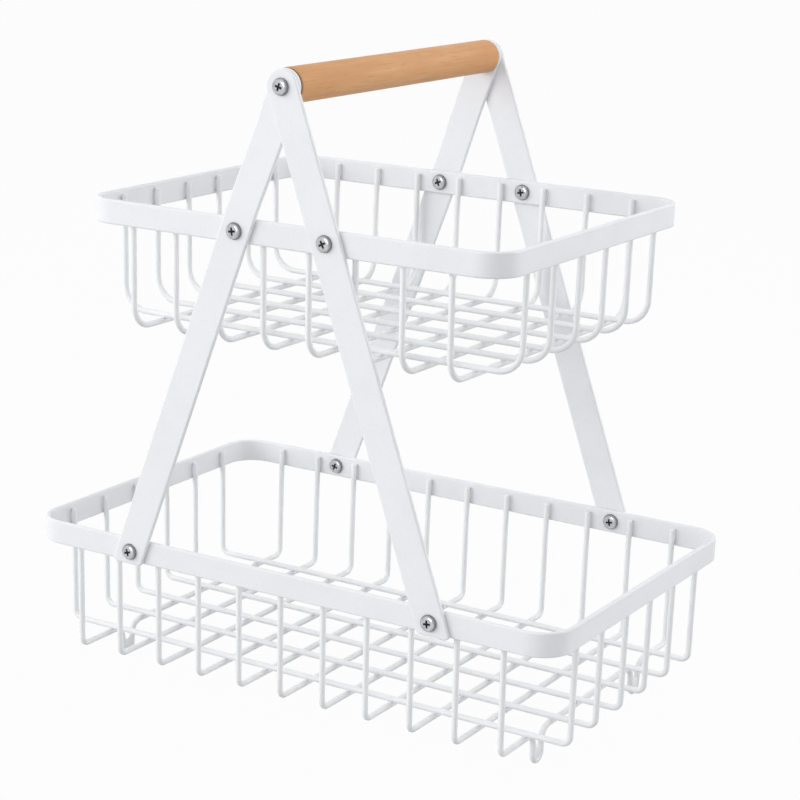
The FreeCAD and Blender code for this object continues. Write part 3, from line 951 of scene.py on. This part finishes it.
@dataclass
class PanHead:
    """A domed head with a cross recess, on a shank or a hollow barrel. It is made with the head up."""

    under: list[tuple[float, float]]
    radius: float = 5.25 * MM
    height: float = 2.8 * MM
    edge: float = 2.2 * MM
    crown: float = 0.14 * MM
    arm_width: float = 1.1 * MM
    arm_span: float = 4.6 * MM
    arm_depth: float = 1.5 * MM
    draft: float = 0.13 * MM
    lip: float = 0.12 * MM
    floor_rise: float = 0.45
    arm_steps: int = 4
    edge_steps: int = 8
    brow_painted_shade: float = 0.6
    brow_start: float = 0.74
    skirt_painted_shade: float = 0.75

    def lines(self) -> np.ndarray:
        """Grid lines from -1 to 1, close together along the walls of the recess and over the round edge.

        Returns:
            The places of the lines, in order.
        """
        near, far = self.arm_width / 2, self.arm_span / 2
        wall = self.draft * np.array([-1.0, 0.0, 1.0])
        arm = np.linspace(near + self.draft, far - self.draft, self.arm_steps + 1)[1:-1]
        edge = np.linspace(far + self.draft, self.radius, self.edge_steps + 1)[1:]
        half = np.concatenate([[near / 2], near + wall, arm, far + wall, edge]) / self.radius
        return np.concatenate([-half[::-1], [0.0], half])

    def shell(self) -> Shell:
        """The top is a square grid pressed into a disc, and the underside is revolved from the disc's edge.

        A grid point (u, v) lands at (u times the root of 1 - v v / 2, v times the root of 1 - u u / 2), so lines
        near the middle stay straight and the cross follows them. The height is a round-edged dome, less the recess.

        Returns:
            The closed fastener, with a mark where shade is painted: in the recess, in a ring toward the rim as a
            painted dark reflection, and under the head.
        """
        line = self.lines()
        count = len(line)
        v, u = np.meshgrid(line, line, indexing="ij")
        x, y = self.radius * u * np.sqrt(1 - v * v / 2), self.radius * v * np.sqrt(1 - u * u / 2)
        out = np.hypot(x, y)
        past = np.clip(out - self.radius + self.edge, 0, self.edge)
        dome = self.height - self.crown * (out / self.radius) ** 2 - self.edge + np.sqrt(self.edge ** 2 - past ** 2)
        along, beside = np.abs(u) * self.radius, np.abs(v) * self.radius
        near, far = self.arm_width / 2, self.arm_span / 2
        arms = np.minimum(np.maximum(along - far, beside - near), np.maximum(along - near, beside - far))
        sunk = smooth_step(0.5 - arms / (2 * self.draft))
        depth = self.arm_depth * (1 - self.floor_rise * np.clip(np.maximum(along, beside) / far, 0, 1))
        top = np.stack([x, y, dome - depth * sunk], -1).reshape(-1, 3)
        step = np.arange(count - 1)
        corner = (step[:, None] * count + step).reshape(-1, 1)
        faces = [corner + np.array([0, 1, count + 1, count])]
        brink = np.concatenate([step, step * count + count - 1, (count - 1) * count + step[::-1] + 1,
                                (step[::-1] + 1) * count])
        angle = np.arctan2(top[brink, 1], top[brink, 0])
        skirt = np.array([(self.radius, self.lip), (self.radius - self.lip, 0.0), *self.under])
        rows = np.stack(np.broadcast_arrays(skirt[:-1, :1] * np.cos(angle), skirt[:-1, :1] * np.sin(angle),
                                            skirt[:-1, 1:]), -1)
        numbers = np.concatenate([brink[None], len(top) + np.arange(rows[..., 0].size).reshape(rows.shape[:2])])
        beside = np.roll(numbers, -1, axis=1)
        faces.append(np.stack([beside[:-1], numbers[:-1], numbers[1:], beside[1:]], -1).reshape(-1, 4))
        pole = len(top) + rows[..., 0].size
        fan = np.stack([beside[-1], numbers[-1], np.full(len(brink), pole)], -1)
        points = np.concatenate([top, rows.reshape(-1, 3), [[0.0, 0.0, skirt[-1, 1]]]])
        # Painted shade in the recess, a painted dark reflection in a ring toward the rim, and painted shade on the
        # underside and shank.
        brow = self.brow_painted_shade * smooth_step((out / self.radius - self.brow_start) / (1 - self.brow_start))
        marks = np.concatenate([np.maximum(sunk, brow).ravel(), np.full(pole + 1 - len(top), self.skirt_painted_shade)])
        return Shell(points, np.concatenate(faces), fan, marks).outward()


@dataclass
class FastenerSet:
    """The screws and sleeve nuts of the rims and the two handle screws."""

    axis_level: float
    leg_gauge: float = 3 * MM
    rim_wall: float = BAND_WALL
    thread: float = 2 * MM
    barrel: float = 2.7 * MM
    bore: float = 2.1 * MM
    barrel_relief: float = 0.4 * MM
    bore_spare: float = 0.6 * MM
    grip_thread: float = 2.5 * MM
    grip_screw_length: float = 17.5 * MM
    tip: float = 0.4 * MM
    spin_limit: float = 0.5
    seed: int = 21

    def __post_init__(self) -> None:
        """Find the joints: the legs are straight from the handle's axis through both rims."""
        boxes = [[np.array(corner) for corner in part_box(node)] for node in ("lower_rim", "upper_rim")]
        self.levels = [float(low[2] + high[2]) / 2 for low, high in boxes]
        self.half_depth = float(boxes[0][1][1])
        lower_joint = float(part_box("rim_screws")[1][0]) - PanHead([]).radius
        drop = [self.axis_level - level for level in self.levels]
        self.joints = [lower_joint, lower_joint * drop[1] / drop[0]]
        self.random = np.random.default_rng(self.seed)

    def shank(self, radius: float, length: float) -> list[tuple[float, float]]:
        """Outline of a plain shank under a head, ending on the axis."""
        return [(radius, 0.0), (radius, self.tip - length), (radius - self.tip, -length), (0.0, -length)]

    def sleeve(self) -> list[tuple[float, float]]:
        """Outline of a hollow barrel under a head.

        Returns:
            Radii and heights, down the barrel and up its bore to the bottom of the bore on the axis.
        """
        length = self.rim_wall + self.leg_gauge - self.barrel_relief
        return [(self.barrel, 0.0), (self.barrel, -length), (self.bore, -length),
                (self.bore, self.bore_spare), (0.0, self.bore_spare)]

    def faced(self, head: Shell, way: int, place: Triple) -> Shell:
        """A fastener whose head points to the front or back, turned about its axis by a seeded angle.

        Args:
            head: The fastener with its head up.
            way: -1 for a head that points to the front, 1 for one that points to the back.
            place: Where the underside of its head sits.

        Returns:
            The placed copy.
        """
        spin = self.random.uniform(-self.spin_limit, self.spin_limit)
        cos, sin = math.cos(spin), math.sin(spin)
        about = np.array([[cos, -sin, 0], [sin, cos, 0], [0, 0, 1]])
        facing = np.array([[-way, 0, 0], [0, 0, way], [0, 1, 0]], float)
        return head.placed(facing @ about, np.array(place))

    def build(self, palette: Palette) -> None:
        """Make the three kinds of fastener and put them where the legs meet the rims and the handle.

        Args:
            palette: The materials.
        """
        screw = PanHead(self.shank(self.thread, self.rim_wall + self.leg_gauge)).shell()
        nut = PanHead(self.sleeve()).shell()
        outer, inner = self.half_depth + self.leg_gauge, self.half_depth - self.rim_wall
        spots = [(end * joint, side, level) for level, joint in zip(self.levels, self.joints)
                 for side in (-1, 1) for end in (-1, 1)]
        screws = [self.faced(screw, side, (x, side * outer, z)) for x, side, z in spots]
        nuts = [self.faced(nut, -side, (x, side * inner, z)) for x, side, z in spots]
        ride(joined(screws).to_piece("rim_screw_set", palette.zinc), FRAME_BODY, Slot.ZINC, "rim_screws")
        ride(joined(nuts).to_piece("sleeve_nut_set", palette.zinc), FRAME_BODY, Slot.ZINC, "sleeve_nuts")
        long_screw = PanHead(self.shank(self.grip_thread, self.grip_screw_length)).shell()
        seat = float(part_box("handle_screws")[1][1]) - PanHead([]).height
        pair = [self.faced(long_screw, side, (0.0, side * seat, self.axis_level)) for side in (-1, 1)]
        ride(joined(pair).to_piece("handle_screw_pair", palette.zinc), HANDLE_BODY, Slot.ZINC, "handle_screws")


@dataclass
class Handle:
    """The turned wooden grip, with a socket in each end for its insert."""

    end_round: float = 1.6 * MM
    socket_radius: float = 4.05 * MM
    socket_depth: float = 14.6 * MM
    sides: int = 112
    round_steps: int = 8
    rows: int = 48

    def build(self, palette: Palette) -> None:
        """Turn the grip from its outline: a straight side with a quarter circle and a socket at each end.

        The mark goes from 0 on the side to 1 on the end grain and in the sockets; it darkens the end as end grain and
        as painted shade in the gap where the grip meets the leg.

        Args:
            palette: The materials.
        """
        low, high = (np.array(corner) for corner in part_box("handle_grip"))
        radius, reach = (high[0] - low[0]) / 2, (high[1] - low[1]) / 2
        angle = np.linspace(0, np.pi / 2, self.round_steps + 1)
        curve = np.stack([radius - self.end_round * (1 - np.sin(angle)),
                          reach - self.end_round * (1 - np.cos(angle))], -1)
        straight = np.linspace(reach - self.end_round, 0, self.rows // 2)[1:]
        socket = [(self.socket_radius, reach - self.socket_depth), (self.socket_radius, reach)]
        half = np.concatenate([socket, curve, np.stack([np.full(len(straight), radius), straight], -1)])
        outline = np.concatenate([half, (half * (1, -1))[-2::-1]])
        dark = np.concatenate([np.ones(len(socket)), 1 - smooth_step(angle / angle[-1]), np.zeros(len(straight))])
        dark = np.concatenate([dark, dark[-2::-1]])
        lying = np.array([[1.0, 0, 0], [0, 0, 1], [0, -1, 0]])
        grip = revolved(outline, self.sides).placed(lying, np.array([0, 0, (low[2] + high[2]) / 2]))
        grip.marks = np.append(np.repeat(dark, self.sides), [1.0, 1.0])
        ride(grip.to_piece("turned_grip", palette.beech), HANDLE_BODY, Slot.WOOD, "handle_grip")


@dataclass
class KeptSolids:
    """The CAD nodes that stay in view and get a finish: the bands, the bars and the hidden inserts."""

    nodes: dict[str, bpy.types.Object]

    def dress(self, palette: Palette) -> None:
        """Put a finish on each node's own slots.

        Args:
            palette: The materials.
        """
        finishes = {"_rim": palette.bar_coat, "_leg": palette.bar_coat, "_inserts": palette.brass}
        for name, node in sorted(self.nodes.items()):
            for ending, material in finishes.items():
                if name.endswith(ending):
                    node.data.materials.clear()
                    node.data.materials.append(material)
                    LOG.info("%s keeps its solid, in %s", name, material.name)


@dataclass(frozen=True)
class Lamp:
    """A square soft box that looks at a point."""

    name: str
    place: Triple
    width: float
    watts: float
    aim: Triple = (0.0, 0.0, 0.2)
    lights: bool = True
    glints: bool = True

    def build(self) -> None:
        """Add the lamp to the scene, lighting surfaces, showing in reflections or both."""
        light = bpy.data.lights.new(self.name, "AREA")
        light.size = self.width
        light.energy = self.watts
        lamp = bpy.data.objects.new(self.name, light)
        back = unit(np.array(self.place) - np.array(self.aim))
        right = unit(np.cross(UP, back))
        lamp.matrix_world = pose_matrix(right, np.cross(back, right), back, np.array(self.place))
        lamp.visible_diffuse, lamp.visible_glossy = self.lights, self.glints
        bpy.context.scene.collection.objects.link(lamp)


def pose_matrix(right: np.ndarray, up: np.ndarray, back: np.ndarray, place: np.ndarray) -> Matrix:
    """The matrix of an object from its three axes and its place."""
    return Matrix([[right[k], up[k], back[k], place[k]] for k in range(3)] + [[0, 0, 0, 1]])


@dataclass
class Studio:
    """Floor, soft light and the camera at the photograph's angle."""

    azimuth: float = math.radians(30.963)
    elevation: float = math.radians(14.663)
    roll: float = math.radians(1.727)
    distance: float = 1427.374 * MM
    aim: Triple = (12.011 * MM, 0.0, 189.237 * MM)
    focal_pixels: float = 2228.716
    image_pixels: float = 800.0
    sensor: float = 36.0
    clip_start: float = 0.05
    floor_reach: float = 12.0
    fill: float = 0.91
    zenith_fill: float = 0.48
    fall_start: float = 0.15
    fall_end: float = 0.95
    lamps: tuple[Lamp, ...] = (
        Lamp("key", place=(-2.4, -2.28, 1.175), width=3.0, watts=76.0, glints=False),
        Lamp("front", place=(1.2, -2.2, 1.0), width=1.2, watts=2.4, glints=False),
        Lamp("glint", place=(0.1, -2.3, 1.0), width=1.1, watts=24.0, lights=False),
        Lamp("side", place=(1.8, 1.7, 0.7), width=1.4, watts=8.0),
        Lamp("rear", place=(1.0, 0.9, 1.3), width=1.0, watts=7.0),
        Lamp("top", place=(0.0, 0.0, 2.6), width=1.6, watts=4.0, aim=(0.0, 0.02, 0.2)))

    def build_camera(self) -> None:
        """Stand the camera on a sphere about the aim, and roll it about its own axis."""
        a, e, r = self.azimuth, self.elevation, self.roll
        back = np.array([math.sin(a) * math.cos(e), -math.cos(a) * math.cos(e), math.sin(e)])
        level = np.array([math.cos(a), math.sin(a), 0.0])
        rise = np.cross(back, level)
        right = math.cos(r) * level + math.sin(r) * rise
        camera = bpy.data.cameras.new("camera")
        camera.sensor_fit = "HORIZONTAL"
        camera.sensor_width = self.sensor
        camera.lens = self.sensor * self.focal_pixels / self.image_pixels
        camera.clip_start = self.clip_start
        viewer = bpy.data.objects.new("camera", camera)
        place = np.array(self.aim) + back * self.distance
        viewer.matrix_world = pose_matrix(right, np.cross(back, right), back, place)
        bpy.context.scene.collection.objects.link(viewer)
        bpy.context.scene.camera = viewer

    def build_floor(self) -> None:
        """Lay a wide flat grid under the feet."""
        line = np.linspace(-self.floor_reach, self.floor_reach, 3)
        x, y = np.meshgrid(line, line)
        points = np.stack([x, y, np.zeros_like(x)], -1).reshape(-1, 3)
        first_corners, to_corners = np.array([0, 1, 3, 4])[:, None], np.array([0, 1, 4, 3])
        floor = Shell(points, first_corners + to_corners).to_piece("floor", PaleFloor("pale_floor").material())

    def build_world(self) -> None:
        """A pale fill that falls off overhead, white to the eye and in reflections."""
        world = bpy.data.worlds.new("studio")
        world.use_nodes = True
        graph = Graph(world.node_tree)
        way = graph.add("SeparateXYZ", Vector=graph.add("TexCoord").outputs["Generated"])
        level = graph.ranged(way.outputs["Z"], (self.fall_start, self.fall_end, self.fill, self.zenith_fill))
        fill = graph.add("Background", Color=WHITE, Strength=level)
        white = graph.add("Background", Color=WHITE, Strength=1.0)
        both = graph.add("MixShader", Fac=graph.seen_directly())
        graph.feed(both.inputs[1], fill.outputs[0])
        graph.feed(both.inputs[2], white.outputs[0])
        graph.add("OutputWorld", Surface=both.outputs[0])
        bpy.context.scene.world = world

    def build(self) -> None:
        """Set up the whole studio."""
        self.build_camera()
        self.build_floor()
        self.build_world()
        for lamp in self.lamps:
            lamp.build()
        bpy.context.scene.view_settings.view_transform = "Standard"


def clear_scene() -> None:
    """Take away whatever the file starts with."""
    for thing in list(bpy.data.objects):
        bpy.data.objects.remove(thing)


def main() -> None:
    """Load the frame, build every sub-assembly around it and set up the studio."""
    logging.basicConfig(level=logging.INFO, format="%(message)s")
    clear_scene()
    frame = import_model()
    palette = Palette()
    wires = sorted(node for node in frame["nodes"] if "_wire_" in node)
    bends = {"lower": (LOWER_BEND, LOWER_BEND), "upper": (UPPER_CROSS_BEND, UPPER_LONG_BEND)}
    for name, (cross_bend, long_bend) in bends.items():
        tier = WireTier(name, [node for node in wires if node.startswith(name)], cross_bend, long_bend)
        tier.build_wires(palette)
        tier.build_webs(palette)
        tier.build_beads(palette)
    FastenerSet(frame["joints"][0]["pos_m"][2]).build(palette)
    Handle().build(palette)
    KeptSolids(frame["nodes"]).dress(palette)
    Studio().build()


if __name__ == "__main__":
    main()
